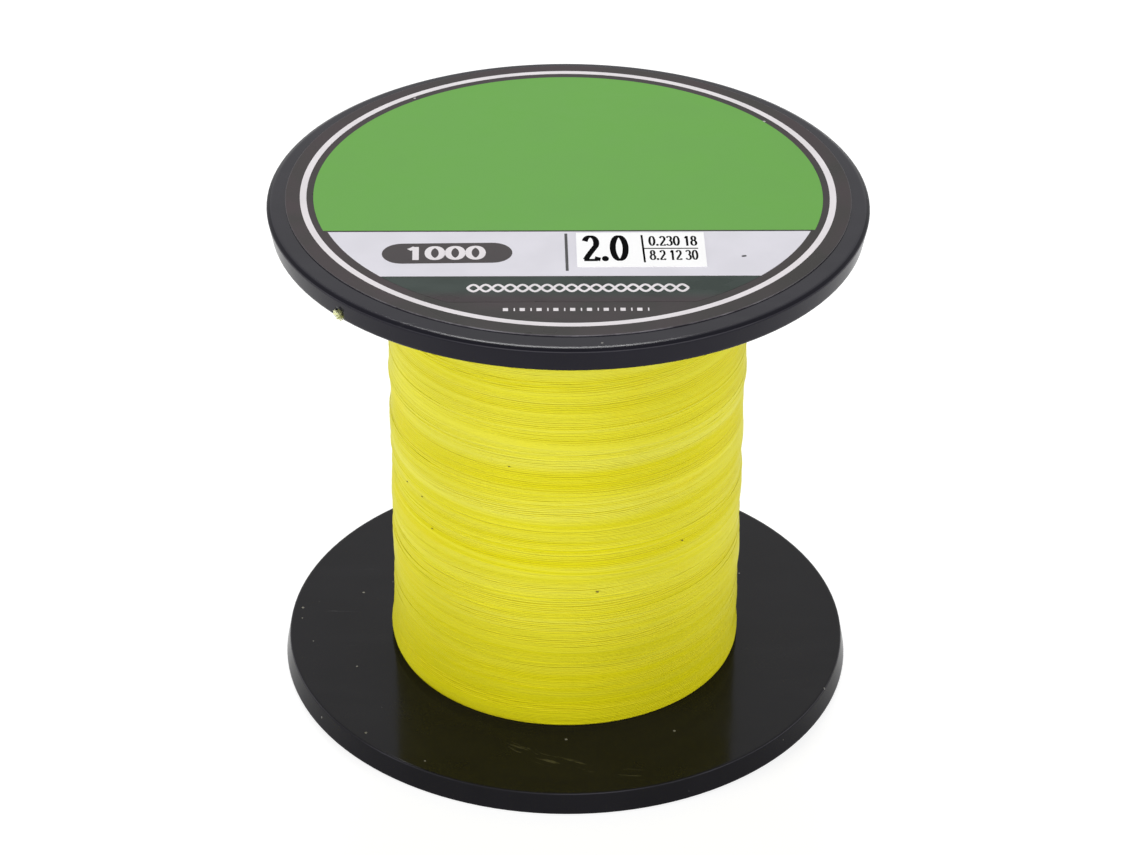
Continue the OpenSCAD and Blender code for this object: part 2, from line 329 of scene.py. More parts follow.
def scuffs(tree, where):
    """Faint arcs rubbed into the front of a flange: a noise that is drawn out round the spool's
    axis, on tracks that slant a little outwards and wander, with gaps in them."""
    axes = node(tree, "SeparateXYZ", {0: where})
    x, y = axes.outputs[0], axes.outputs[1]
    radius = node(tree, "VectorMath", {0: node(tree, "CombineXYZ", {0: x, 1: y}).outputs[0]},
                  operation="LENGTH").outputs[1]
    around = maths(tree, "ARCTAN2", y, x)
    wander = maths(tree, "MULTIPLY", noise(tree, where, 110, 2.0), 0.003)
    slant = maths(tree, "MULTIPLY", maths(tree, "ADD", around, math.pi / 2), -0.0132)
    track = maths(tree, "ADD", radius, maths(tree, "ADD", slant, wander))
    drawn = node(tree, "CombineXYZ", {0: track, 1: maths(tree, "MULTIPLY", around, 0.004)})
    arcs = ramp(tree, noise(tree, drawn.outputs[0], 1500, 3.0, 0.65), 0.53, 0.64)
    gaps = ramp(tree, noise(tree, where, 330, 3.0), 0.44, 0.56)
    mark = maths(tree, "MULTIPLY", arcs, gaps)
    radii = [r * MM for r in SCUFF_RADII]
    for value, (from_0, from_1, to_1, to_0) in ((track, radii), (around, SCUFF_ANGLES)):
        for outside, inside in ((from_0, from_1), (to_0, to_1)):
            mark = maths(tree, "MULTIPLY", mark, ramp(tree, value, outside, inside))
    return mark


def moulded(name, colour, roughness, specular, wear=1.0, grain=0.0, edge=0.0, shoulder=None,
             painted_highlight=None, scuffed=False):
    """Black moulded plastic: a little cloudy in its gloss, with hairline scratches and dust.
    Edge is how far in metres from an edge its gloss starts to bend. Shoulder gives the levels in
    mm of a bevel that gets a painted dark reflection, darker and less glossy than the rest, and
    the next argument those of an edge that gets a pale painted highlight line."""
    material, tree, shader = finish_of(name)
    where = place(tree)
    cloud = noise(tree, where, 90, 4.0)
    smear = noise(tree, place(tree, scale=(1, 3.5, 1), turn=(0, 0, 0.5)), 35, 5.0, 0.6, 0.8)
    dust = specks(tree, where, 420, 0.09, 0.10 * wear)
    lines = maths(tree, "MAXIMUM", hairlines(tree, 25, 0.04, 900, 0.30),
                  hairlines(tree, -52, 0.05, 700, 0.29))
    lines = maths(tree, "MULTIPLY", lines, ramp(tree, noise(tree, where, 60, 2.0), 0.5, 0.7))
    lines = maths(tree, "MULTIPLY", lines, wear, clamp=True)
    pale = tuple(0.12 + c for c in colour[:3]) + (1.0,)
    tint = blend(tree, ramp(tree, cloud, 0.3, 0.7), shaded(colour, 0.82), colour)
    tint = blend(tree, maths(tree, "MULTIPLY", lines, 0.10), tint, pale)
    tint = blend(tree, maths(tree, "MULTIPLY", dust, 0.65), tint, DUST_GREY)
    rough = ramp(tree, smear, 0.35, 0.7, roughness * 0.8, roughness * 1.35)
    rough = maths(tree, "ADD", rough, maths(tree, "MULTIPLY", lines, 0.12))
    rough = maths(tree, "ADD", rough, maths(tree, "MULTIPLY", dust, 0.5), clamp=True)
    soft_edge = None
    if edge:
        soft_edge = node(tree, "Bevel", {"Radius": edge}, samples=8).outputs[0]
    flow = bump(tree, cloud, 0.000012, below=soft_edge)
    if grain:
        flow = bump(tree, noise(tree, where, 2600, 2.0), grain, below=flow)
    scratched = bump(tree, maths(tree, "SUBTRACT", 0, lines), 0.000006, below=flow)
    shader.inputs["Specular IOR Level"].default_value = specular
    # A pale line along the edge between these levels: painted highlight
    if painted_highlight:
        highlight_mask = maths(tree, "MULTIPLY", between(tree, where, *painted_highlight),
                     ramp(tree, noise(tree, where, 50, 3.0), 0.38, 0.62, 0.12, 0.75))
        tint = blend(tree, highlight_mask, tint, PAINTED_EDGE_HIGHLIGHT)
    if scuffed:
        tint = blend(tree, scuffs(tree, where), tint, SCUFFED_FACE)
    # A darker, less glossy band on the bevel: painted dark reflection
    if shoulder:
        bevel = between(tree, where, *shoulder)
        tint = blend(tree, maths(tree, "MULTIPLY", bevel, 0.5), tint, PAINTED_DARK_REFLECTION)
        wire(tree, shader, Specular_IOR_Level=ramp(tree, bevel, 0, 1, specular,
                                                   specular * 0.4, smooth=False))
    wire(tree, shader, Base_Color=tint, Roughness=rough, Normal=scratched)
    return material


def printed(name, colour, roughness=0.34, specular=0.15, mottle=0.035, flecks=0.0):
    """Ink on the label film: a fine mottle in the colour and, where wanted, pinholes."""
    material, tree, shader = finish_of(name)
    where = place(tree)
    soft = noise(tree, where, 160, 4.0)
    fine = noise(tree, where, 2400, 2.0)
    tint = blend(tree, ramp(tree, soft, 0.3, 0.7), shaded(colour, 1 - mottle),
                 shaded(colour, 1 + mottle))
    if flecks:
        holes = specks(tree, where, 300, 0.07, flecks)
        tint = blend(tree, maths(tree, "MULTIPLY", holes, 0.5), tint, (0.35, 0.33, 0.34, 1))
    shader.inputs["Specular IOR Level"].default_value = specular
    wire(tree, shader, Base_Color=tint,
         Roughness=ramp(tree, soft, 0.3, 0.7, roughness * 0.9, roughness * 1.15),
         Normal=bump(tree, fine, 0.000004))
    return material


def label_film(name):
    """Dark ground of the label: brown-black with a dull green cast that comes and goes."""
    material, tree, shader = finish_of(name)
    where = place(tree)
    cast = noise(tree, where, 70, 3.0, 0.5, 0.4)
    fine = noise(tree, where, 2400, 2.0)
    tint = blend(tree, ramp(tree, cast, 0.35, 0.65), linear(44, 42, 40), linear(49, 38, 42))
    tint = blend(tree, specks(tree, where, 330, 0.08, 0.06), tint, (0.42, 0.40, 0.40, 1))
    shader.inputs["Specular IOR Level"].default_value = 0.12
    wire(tree, shader, Base_Color=tint, Roughness=ramp(tree, cast, 0.3, 0.7, 0.26, 0.4),
         Normal=bump(tree, fine, 0.000005))
    return material


def shaded_band(name, low_y, high_y):
    """Dark ink that goes from dull green at high_y to the label's ground at low_y, in mm."""
    material, tree, shader = finish_of(name)
    where = place(tree)
    level = node(tree, "SeparateXYZ", {0: where}).outputs[1]
    cloud = noise(tree, place(tree, scale=(1, 2, 1)), 120, 3.0)
    tint = blend(tree, ramp(tree, cloud, 0.3, 0.7), linear(31, 45, 39), linear(38, 51, 46))
    tint = blend(tree, ramp(tree, level, high_y * MM, low_y * MM), tint, linear(47, 38, 41))
    tint = blend(tree, specks(tree, where, 330, 0.08, 0.05), tint, (0.45, 0.44, 0.43, 1))
    shader.inputs["Specular IOR Level"].default_value = 0.12
    wire(tree, shader, Base_Color=tint, Roughness=ramp(tree, cloud, 0.3, 0.7, 0.26, 0.36),
         Normal=bump(tree, noise(tree, where, 2400, 2.0), 0.000004))
    return material


def braid(name, colour, deep, fine=True):
    """Braided line: crossing picks along its own length, tone from turn to turn, and painted
    shade that darkens it towards the lower flange."""
    material, tree, shader = finish_of(name)
    tone = node(tree, "Attribute", attribute_name="tone").outputs["Fac"]
    where = place(tree, scale=(1, 1, 2.2))
    patch = noise(tree, where, 55, 3.0, 0.55, 0.6)
    tint = blend(tree, ramp(tree, tone, 0, 1, smooth=False), deep, colour)
    warm = (colour[0], colour[1] * 0.93, colour[2] * 0.3, 1)
    tint = blend(tree, ramp(tree, patch, 0.55, 0.75, 0, 0.6), tint, warm)
    level = node(tree, "SeparateXYZ", {0: node(tree, "TexCoord").outputs["Object"]}).outputs[2]
    # Darker and more olive from 34 mm down to the lower flange: painted shade
    painted_shade = ramp(tree, level, 34 * MM, 3 * MM, 0, 0.85)
    tint = blend(tree, painted_shade, tint, shaded(deep, 0.76))
    shader.inputs["Specular IOR Level"].default_value = 0.4
    shader.inputs["Specular Tint"].default_value = (1.0, 0.97, 0.32, 1)
    if fine:
        lay = node(tree, "UVMap", uv_map="lay").outputs[0]
        steep = [node(tree, "TexWave", {"Vector": node(tree, "Mapping", {
            "Vector": lay, "Scale": (1 / PICK, side, 1)}).outputs[0], "Scale": ONE_WAVE},
            bands_direction="DIAGONAL").outputs[1] for side in (3, -3)]
        picks = maths(tree, "MAXIMUM", *steep)
        wire(tree, shader, Normal=bump(tree, picks, 0.000006, 0.3))
    wire(tree, shader, Base_Color=tint,
         Roughness=ramp(tree, patch, 0.3, 0.7, 0.28, 0.4))
    return material


def under_braid(name, colour, deep):
    """Inner layers, seen between the outer turns: fine ridges of line lying side by side, with
    painted shade in the grooves between them.
    """
    material, tree, shader = finish_of(name)
    where = place(tree)
    ridges = node(tree, "TexWave", {"Vector": where, "Scale": ONE_WAVE / (TURN_PITCH * MM),
                                    "Distortion": 1.5, "Detail": 1.0, "Detail Scale": 0.02},
                  bands_direction="Z").outputs[1]
    # Deeper tone in the grooves between the ridges: painted shade
    tint = blend(tree, ridges, deep, colour)
    shader.inputs["Roughness"].default_value = 0.55
    wire(tree, shader, Base_Color=tint, Normal=bump(tree, ridges, 0.00006))
    return material


def paper_tape(name):
    """Creased paper tape with its fibres."""
    material, tree, shader = finish_of(name)
    fibres = noise(tree, place(tree, scale=(1, 1, 6)), 500, 5.0, 0.7)
    tint = blend(tree, fibres, (0.60, 0.53, 0.38, 1), (0.78, 0.72, 0.56, 1))
    shader.inputs["Roughness"].default_value = 0.8
    wire(tree, shader, Base_Color=tint, Normal=bump(tree, fibres, 0.00003))
    return material


def chip(name):
    """Dark specks of dirt in the winding."""
    material, tree, shader = finish_of(name)
    grit = noise(tree, place(tree), 3000, 2.0)
    shader.inputs["Roughness"].default_value = 0.7
    wire(tree, shader, Base_Color=blend(tree, grit, (0.10, 0.07, 0.02, 1),
                                        (0.28, 0.22, 0.04, 1)))
    return material


# ---------------------------------------------------------------- the wound line

# Slow waves of the winding's surface: height in mm, times round, length along Z in mm, start
BED_WAVES = [(0.11, 0, 11.0, 2.14), (0.05, 1, 17.0, 0.9), (0.035, -1, 7.4, 4.1),
             (0.02, 1, 5.2, 1.1), (0.012, -2, 3.7, 0.3), (0.008, 2, 2.6, 5.0)]


def bed_radius(angle, z):
    """Radius in mm that the outer turns lie on: a drum, slow waves that run round it at a slant,
    and a flare towards the lower flange that is fullest at the spool's left."""
    radius = BED_R + np.zeros(np.broadcast(angle, z).shape)
    for height, times, length, start in BED_WAVES:
        radius = radius + height * np.sin(times * angle + TAU * z / length + start)
    flare = 0.42 - 0.22 * np.cos(angle) + 0.08 * np.sin(2 * angle + 1)
    return radius + flare * np.exp(-((z - LINE_Z0 - 1.6) / 1.9) ** 2)


# Waves that crowd and part the turns: shift in mm, times round and a bit, start
TURN_WAVES = [(0.45, 1.012, 0.2), (0.30, 0.021, 1.7), (0.16, 2.034, 4.0), (0.10, 1.055, 2.2),
              (0.075, 0.083, 5.1), (0.05, 2.09, 0.8), (0.035, 3.13, 3.3), (0.02, 1.21, 1.2),
              (0.016, 4.27, 2.9), (0.012, 0.39, 0.5), (0.010, 5.44, 4.4)]
# Creases between bundles of turns: shift in mm, mm from one to the next, times round, start
CREASES = [(0.06, 3.3, 0, 0.0), (0.08, 5.3, 0, 0.3), (0.06, 2.1, 0, 0.7), (0.05, 1.37, 1, 0.1),
           (0.04, 0.93, -1, 0.5)]


def crease(cycle, sharp=0.88):
    """A saw-tooth with softened steps, from -1/2 to 1/2, over cycles of length one."""
    return np.arctan(sharp * np.sin(TAU * cycle) / (1 - sharp * np.cos(TAU * cycle))) / math.pi


def turn_height(turn, z_start, taper):
    """Height in mm of the line after so many turns: a steady climb, waves that crowd and part
    the turns, and creases that open between bundles of them. Taper stills them at both ends."""
    z = z_start + turn * TURN_PITCH
    shift = np.zeros_like(turn)
    for size, times, start in TURN_WAVES:
        shift = shift + size * np.sin(TAU * times * turn + start)
    for size, length, times, start in CREASES:
        fade = 0.55 + 0.45 * np.sin(TAU * turn * (1 + 0.6 * TURN_PITCH / length) + 9 * start)
        shift = shift + size * fade * crease(z / length + times * turn + start)
    return z + shift * taper


def jitter(turn, size):
    """Small change that is smooth along a turn but differs from one turn to the next."""
    return size * (np.sin(TAU * 0.382 * turn) + np.sin(TAU * 1.236 * turn + 1)
                   + 0.7 * np.sin(TAU * 2.618 * turn + 2)) / 2.7


def bands(turn, spacing, angle):
    """Bands of turns, from -1 to 1: random values every so many turns, joined smoothly, from
    two such rows of values that take over from each other round the spool."""
    knots = np.arange(0, turn[-1] + 2 * spacing, spacing)
    first, second = rng.uniform(-1, 1, (2, len(knots)))
    place_in = turn / spacing
    low = place_in.astype(int)
    step = place_in - low
    step = step * step * (3 - 2 * step)
    rows = [row[low] * (1 - step) + row[low + 1] * step for row in (first, second)]
    share = 0.5 + 0.5 * np.sin(angle)
    return rows[0] * share + rows[1] * (1 - share)


def outer_turns(material):
    """The outer layer: one unbroken line in some 300 turns, kept as two meshes that meet."""
    z_start, z_end = LINE_Z0 + END_ROOM + LINE_R, LINE_Z1 - END_ROOM - LINE_R
    turns = (z_end - z_start) / TURN_PITCH
    turn = np.linspace(0, turns, int(turns * TURN_STEPS) + 1)
    taper = np.clip(np.minimum(turn, turns - turn) * TURN_PITCH / 3, 0, 1) ** 0.7
    angle = START_A + TAU * turn
    z = np.clip(turn_height(turn, z_start, taper), z_start, z_end)
    radius = bed_radius(angle, z) + jitter(turn, 0.014)
    path = polar(radius, angle, z)
    tone = (0.5 + jitter(turn * 1.07, 0.06) + 0.22 * bands(turn, 11, angle)
            + 0.30 * bands(turn, 4.3, angle + 2) + 0.24 * bands(turn, 2.2, angle + 4))
    rings = thread(path, polar(1, angle, 0), LINE_R, flat=LINE_FLAT)
    half = len(turn) // 2
    pieces = []
    for name, part in (("line_turns_lower", slice(0, half + 1)),
                       ("line_turns_upper", slice(half, len(turn)))):
        piece = put(name, rings[part].reshape(-1, 3), tube_faces(len(path[part]), SIDES))
        add_lay(piece, path[part])
        add_tone(piece, np.repeat(np.clip(tone[part], 0, 1), SIDES))
        piece.data.materials.append(material)
        pieces.append(piece)
    return pieces


def crossing_turns(material):
    """Turns that the winder laid across the outer layer: each starts and ends tucked under it,
    and climbs or falls by its own slope."""
    count, margin = 11, 5
    parts, tones = [], []
    for k in range(count):
        turns = rng.uniform(0.7, 2.3)
        slope = rng.choice([-1, 1]) * rng.uniform(0.35, 1.3)
        share = (k + rng.uniform(0.1, 0.9)) / count
        z_mid = LINE_Z0 + margin + (LINE_Z1 - LINE_Z0 - 2 * margin) * share
        turn = np.linspace(0, turns, int(turns * TURN_STEPS))
        angle = rng.uniform(0, TAU) + TAU * turn
        z = z_mid + slope * (turn - turns / 2) + 0.2 * np.sin(TAU * 1.3 * turn + k)
        tuck = np.clip(np.minimum(turn, turns - turn) / 0.09, 0, 1)
        lift = 1.2 * LINE_R * tuck * tuck * (3 - 2 * tuck) - 1.6 * LINE_R
        path = polar(bed_radius(angle, z) + LINE_R + lift, angle, z)
        parts.append(strand(path, polar(1, angle, 0), LINE_R))
        tones.append(np.full(len(parts[-1][0]), rng.uniform(0.35, 0.95)))
    piece = put("line_crossing_turns", *join(parts))
    add_tone(piece, np.concatenate(tones))
    piece.data.materials.append(material)
    return piece


def inner_layers(material):
    """The inner layers as one closed ring of line: its section goes up the barrel's side and
    down the bed of the outer turns."""
    cols, rows, inner_rows = 192, 300, 8
    clear = 0.02
    angle = np.linspace(0, TAU, cols, endpoint=False)
    z_up = np.linspace(LINE_Z0, LINE_Z1, rows)[:, None]
    z_down = np.linspace(LINE_Z1, LINE_Z0, inner_rows)[:, None]
    outer = polar(bed_radius(angle, z_up) + clear, angle, z_up)
    inner = polar(BARREL_R + clear, angle, z_down)
    points = np.concatenate([outer, inner]).reshape(-1, 3)
    quads = grid_quads(rows + inner_rows, cols, close_rows=True)
    piece = put("line_inner_layers", points, quads.tolist())
    piece.data.materials.append(material)
    return piece


# ---------------------------------------------------------------- the line's loose end

NOTCH_A = math.radians(-136.6)
LEAVE_A = math.radians(-187.1)    # where the end leaves the winding, on a tangent
RIDE_A = math.radians(80)         # how far it rides round the winding before that
RIDE_DROP = 2.05                  # how far below the upper flange that ride starts
# The route on the tangent: how far along it, how far below the upper flange
TANGENT_ROUTE = [(1.0, 1.41), (3.6, 1.41), (16.45, 0.83), (31.7, 0.22)]
# The route up into the notch and out: how far inside the rim's edge, how far above its line side
NOTCH_ROUTE = [(2.305, -0.2), (1.585, 1.02), (0.625, 1.15), (0.175, 1.07)]
FIBRE_ROWS = 12                   # points along a fibre of the frayed tip
OUTWARD, SIDEWAYS = polar(1, NOTCH_A, 0), polar(1, NOTCH_A + math.pi / 2, 0)
DOWN = np.array([0, 0, -1.0])


def rounded_route(points, steps=10):
    """Smooth line that starts and ends on the points and turns at each corner in between, in a
    curve from the middle of one stretch to the middle of the next."""
    points = np.asarray(points)
    t = np.linspace(0, 1, steps, endpoint=False)[:, None]
    bends = [(1 - t) ** 2 * (a + b) / 2 + 2 * t * (1 - t) * b + t * t * (b + c) / 2
             for a, b, c in zip(points[:-2], points[1:-1], points[2:])]
    return np.concatenate([points[:1]] + bends + [points[-1:]])


def end_path():
    """Path of the loose end: a stretch that rides on the winding, the tangent, the notch."""
    steps = 30
    ride = np.linspace(LEAVE_A - RIDE_A, LEAVE_A, steps)
    level = LINE_Z1 - np.linspace(RIDE_DROP, TANGENT_ROUTE[0][1], steps)
    lift = np.linspace(-0.15, 1.9 * LINE_R, steps)
    on_winding = polar(bed_radius(ride, level) + lift, ride, level)
    start = on_winding[-1]
    along = polar(1, LEAVE_A + math.pi / 2, 0)
    tangent = [np.append((start + s * along)[:2], LINE_Z1 - drop) for s, drop in TANGENT_ROUTE]
    notch = [polar(RIM_R - inside, NOTCH_A, LINE_Z1 + rise) for inside, rise in NOTCH_ROUTE]
    return np.concatenate([on_winding[:-1], rounded_route([start] + tangent + notch)])


def resampled(path, step):
    """The same path with points at an even step."""
    length = sizes_along(path)
    at = np.linspace(0, length[-1], int(length[-1] / step) + 1)
    return np.stack([np.interp(at, length, path[:, k]) for k in range(3)], axis=-1)


def plies(path):
    """Three plies twisted round each other along a path, as parts with a tone for each."""
    twist, offset, radius = 1.1, 0.045, 0.058
    length = sizes_along(path)
    out = np.tile([0.35, 0.2, 0.9], (len(path), 1))
    rings = thread(path, out, 1.0, 4)
    side, up = rings[:, 0] - path, rings[:, 1] - path
    for ply in range(3):
        a = (TAU * length / twist + TAU * ply / 3)[:, None]
        ply_path = path + offset * (np.cos(a) * side + np.sin(a) * up)
        yield strand(ply_path, out, radius), 0.55 + 0.12 * ply


def tuft(tip):
    """Fibres that fan out from the line's tip: most to one side, the last few to the other.
    Each is a curve from its root by an aim outside to its end, and thins towards it."""
    count, first_side = 96, 80
    t = np.linspace(0, 1, FIBRE_ROWS)[:, None]
    for k in range(count):
        spread = rng.normal(-0.48, 0.2) if k < first_side else rng.uniform(0.0, 0.5)
        fall = rng.uniform(-0.6, 0.4) if k < first_side else rng.uniform(-0.4, 0.1)
        push = rng.uniform(0.25, 0.55)
        root = tip - 0.3 * OUTWARD + 0.05 * rng.normal(size=3)
        aim = root + (0.3 + push) * OUTWARD + 0.4 * spread * SIDEWAYS
        end = tip + 0.75 * push * OUTWARD + spread * SIDEWAYS + fall * DOWN
        fibre = (1 - t) ** 2 * root + 2 * t * (1 - t) * aim + t * t * end
        radius = 0.085 * (1 - 0.5 * t[:, 0])
        yield strand(fibre, np.tile(SIDEWAYS, (FIBRE_ROWS, 1)), radius), rng.uniform(0.6, 1.0)


def plug():
    """Fibres that fill the notch behind the tuft, bowed a little sideways, in lower tones than
    the tuft's: painted shade for the notch.
    """
    count = 44
    t = np.linspace(0, 1, FIBRE_ROWS)[:, None]
    for _ in range(count):
        across = rng.uniform(-0.6, 0.22) * SIDEWAYS
        level = LINE_Z1 + rng.uniform(0.2, 1.5)
        root = polar(RIM_R - 1.875, NOTCH_A, level) + across
        end = polar(RIM_R + rng.uniform(-0.275, 0.075), NOTCH_A, level + rng.uniform(-0.25, 0.15))
        end = end + across * rng.uniform(0.8, 1.2)
        fibre = root * (1 - t) + end * t + 0.1 * np.sin(math.pi * t) * SIDEWAYS
        radius = 0.075 * (1.2 - 0.5 * t[:, 0])
        # Their low tones are painted shade inside the notch
        yield strand(fibre, np.tile(SIDEWAYS, (FIBRE_ROWS, 1)), radius), rng.uniform(0.0, 0.5)


def loose_end(material):
    """The line's loose end: plies along its path, which come apart into fibres where they leave
    the notch."""
    path = resampled(end_path(), 0.12)
    parts, tones = zip(*plies(path), *tuft(path[-1]), *plug())
    piece = put("line_loose_end", *join(parts))
    add_tone(piece, np.repeat(tones, [len(corners) for corners, faces in parts]))
    piece.data.materials.append(material)
    return piece


# Chips of dirt on the winding: angle in degrees, height and size in mm
DIRT = [(-79.9, 28.7, 0.26), (-50.1, 34.2, 0.20), (-152.6, 39.0, 0.17), (-143.2, 38.8, 0.17),
        (-138.1, 34.2, 0.16), (-108.1, 50.5, 0.15), (35, 55, 0.2), (120, 22, 0.2)]


def dirt(material):
    """Flat chips of dirt that lie on the winding: flattened balls, each with its own uneven
    edge."""
    u, v = np.meshgrid(np.linspace(0.15, math.pi - 0.15, 6),
                       np.linspace(0, TAU, 9, endpoint=False), indexing="ij")
    parts = []
    for angle, z, size in DIRT:
        a = math.radians(angle)
        out, along, up = polar(1, a, 0), polar(1, a + math.pi / 2, 0), np.array([0, 0, 1.0])
        uneven = 1 + 0.25 * np.sin(2 * v + z) + 0.1 * np.sin(3 * v + angle)
        chip_grid = (polar(bed_radius(a, z) + LINE_R + 0.05, a, z)
                     + (np.cos(u) * 0.07)[..., None] * out
                     + (np.sin(u) * np.cos(v) * uneven * size)[..., None] * along
                     + (np.sin(u) * np.sin(v) * uneven * size * 0.6)[..., None] * up)
        parts.append((chip_grid.reshape(-1, 3), tube_faces(*u.shape)))
    piece = put("dirt_specks", *join(parts))
    piece.data.materials.append(material)
    return piece


# ---------------------------------------------------------------- the label's print

def turned(points, angle=PRINT_TURN, centre=PRINT_CENTRE):
    """Points that are turned anticlockwise about their origin, which then goes to a centre."""
    c, s = math.cos(angle), math.sin(angle)
    return np.asarray(points) @ np.array([[c, s], [-s, c]]) + centre


def arc(radius, start, end, count):
    """Points on an arc about the origin, from one angle to another in radians."""
    a = np.linspace(start, end, count)
    return np.stack([radius * np.cos(a), radius * np.sin(a)], axis=-1)


def segment_outline(radius, y_low, y_high=math.inf):
    """Part of a disc above y_low and, where it is given, below y_high, anticlockwise."""
    count = 60
    low = math.asin(y_low / radius)
    if y_high >= radius:
        return arc(radius, low, math.pi - low, 2 * count - 1)
    high = math.asin(y_high / radius)
    return np.concatenate([arc(radius, low, high, count),
                           arc(radius, math.pi - high, math.pi - low, count)])


def ink_levels(ground, layer=0):
    """Lowest and highest level of a layer of ink on a ground."""
    return ground - PRINT_SUNK, ground + PRINT_T + LAYER_T * layer


def lettered(name, parts, material):
    """Piece of ink from closed parts, with the material slot of what it is printed on."""
    piece = put(name, *join(parts), smooth=False)
    piece.data.materials.append(material)


def ink(name, parts, material, layer=0):
    """Piece of ink on the label, from closed outlines. A higher layer lies over a lower one."""
    plates = [prism(outline, *ink_levels(LABEL_TOP, layer)) for outline in parts]
    lettered(name, plates, material)


def signed_area(outline):
    """Twice the area of an outline, positive if it runs anticlockwise."""
    x, y = outline[:, 0], outline[:, 1]
    return np.sum(x * np.roll(y, -1) - np.roll(x, -1) * y)


def ring_plate(outer, inner, z0, z1):
    """Closed plate between two matching outlines. Which of them lies outside may be either."""
    n = len(outer)
    rows = [(outer, z0), (outer, z1), (inner, z1), (inner, z0)]
    points = np.stack([np.column_stack([p, np.full(n, z)]) for p, z in rows], axis=1)
    faces = grid_quads(n, 4, close_rows=True)
    bigger = np.linalg.norm(np.ptp(outer, axis=0)) > np.linalg.norm(np.ptp(inner, axis=0))
    if (signed_area(outer) > 0) == bigger:
        faces = faces[:, ::-1]
    return points.reshape(-1, 3), faces.tolist()


def flat_ring(name, centre, outer, inner, low, high, material):
    """A thin ring on the label between two circles about a centre."""
    outer, inner = (arc(r, 0, TAU, 257)[:-1] + centre for r in (outer, inner))
    lettered(name, [ring_plate(outer, inner, low, high)], material)


def cut_edge_painted_highlight(name):
    """The label's cut edge: dark film, with a pale painted highlight in broken places along its
    front.
    """
    material, tree, shader = finish_of(name)
    where = place(tree)
    painted_highlight = ramp(tree, noise(tree, where, 260, 4.0, 0.6), 0.3, 0.75)
    # The pale colour only along the front: painted highlight
    front = ramp(tree, node(tree, "SeparateXYZ", {0: where}).outputs[1], -0.024, -0.036, 0.1, 1)
    shader.inputs["Roughness"].default_value = 0.5
    shader.inputs["Specular IOR Level"].default_value = 0.2
    wire(tree, shader, Base_Color=blend(tree, maths(tree, "MULTIPLY", painted_highlight, front),
                                        (0.045, 0.04, 0.045, 1), (0.21, 0.20, 0.22, 1)))
    return material


def pill_outline(centre, length, height, turn):
    """Outline of a bar with round ends."""
    r = height / 2
    right = arc(r, -math.pi / 2, math.pi / 2, 20) + [length / 2 - r, 0]
    return turned(np.concatenate([right, -right]), turn, centre)


def bar(start, end, width):
    """Outline of a straight bar between two points."""
    start, end = np.asarray(start, float), np.asarray(end, float)
    along = (end - start) / np.linalg.norm(end - start)
    off = width / 2 * np.array([-along[1], along[0]])
    return np.array([start - off, end - off, end + off, start + off])


def ellipse(cx, cy, rx, ry, start=0, end=360, count=28):
    """Points on an ellipse between two angles in degrees."""
    a = np.radians(np.linspace(start, end, count, endpoint=end - start < 360))
    return np.stack([cx + rx * np.cos(a), cy + ry * np.sin(a)], axis=-1)


# Digits as pen strokes in a cell of width 0.6 and height 1: points, and whether they close
DIGITS = {
    "0": [(ellipse(0.3, 0.5, 0.21, 0.44), True)],
    "1": [(np.array([[0.33, 0.0], [0.33, 0.97]]), False),
          (np.array([[0.13, 0.76], [0.22, 0.83], [0.32, 0.95]]), False)],
    "2": [(np.concatenate([ellipse(0.29, 0.70, 0.19, 0.24, 165, -35, 22),
                           [[0.34, 0.42], [0.20, 0.22], [0.10, 0.05]]]), False),
          (np.array([[0.06, 0.05], [0.50, 0.05]]), False),
          (np.array([[0.48, 0.03], [0.52, 0.16]]), False)],
    "3": [(ellipse(0.27, 0.735, 0.18, 0.205, 160, -90, 22), False),
          (ellipse(0.27, 0.285, 0.22, 0.235, 90, -155, 24), False)],
    "8": [(ellipse(0.3, 0.735, 0.16, 0.205), True),
          (ellipse(0.3, 0.285, 0.21, 0.235), True)],
}
# How far one sign moves the next one on, in cell heights
DIGIT_STEP = 0.6
OTHER_STEPS = {".": 0.32, " ": 0.3}


def pen_outline(points, closed, thin, thick):
    """Outline of a stroke drawn by a pen that is thin where it moves sideways and thick where
    it moves up or down. A closed stroke gives a ring of (outer, inner) points."""
    if closed:
        along = np.roll(points, -1, 0) - np.roll(points, 1, 0)
    else:
        along = np.gradient(points, axis=0)
    along = unit(along)
    width = (thin + (thick - thin) * np.abs(along[:, 1:]) ** 1.4) / 2
    off = np.stack([-along[:, 1], along[:, 0]], axis=-1) * width
    return points + off, points - off


def anticlockwise(outline):
    """The outline, turned round if it runs clockwise."""
    return outline if signed_area(outline) > 0 else outline[::-1]


def number(name, text, at, size, stretch, pen, turn, levels, material):
    """A plain number in raised ink, which starts at a point on the label and is turned by an
    angle. Size is the height of its digits, stretch their width against that, and pen its thin
    and thick width, both against that height."""
    z0, z1 = levels

    def on_label(points, x):
        cell = np.column_stack([(x + points[:, 0]) * stretch, points[:, 1]])
        return turned(cell * size, turn, at)

    parts, x = [], 0.0
    for sign in text:
        if sign == ".":
            dot = ellipse(0.15, 0.10, 0.065 / stretch, 0.10, 0, 360, 20)
            parts.append(prism(on_label(dot, x), z0, z1))
        for k, (points, closed) in enumerate(DIGITS.get(sign, [])):
            top = z1 - FACE_STEP * k
            left, right = (on_label(edge, x) for edge in pen_outline(points, closed, *pen))
            if closed:
                parts.append(ring_plate(left, right, z0, top))
            else:
                whole = np.concatenate([left, right[::-1]])
                parts.append(prism(anticlockwise(whole), z0, top))
        x += OTHER_STEPS.get(sign, DIGIT_STEP)
    lettered(name, parts, material)


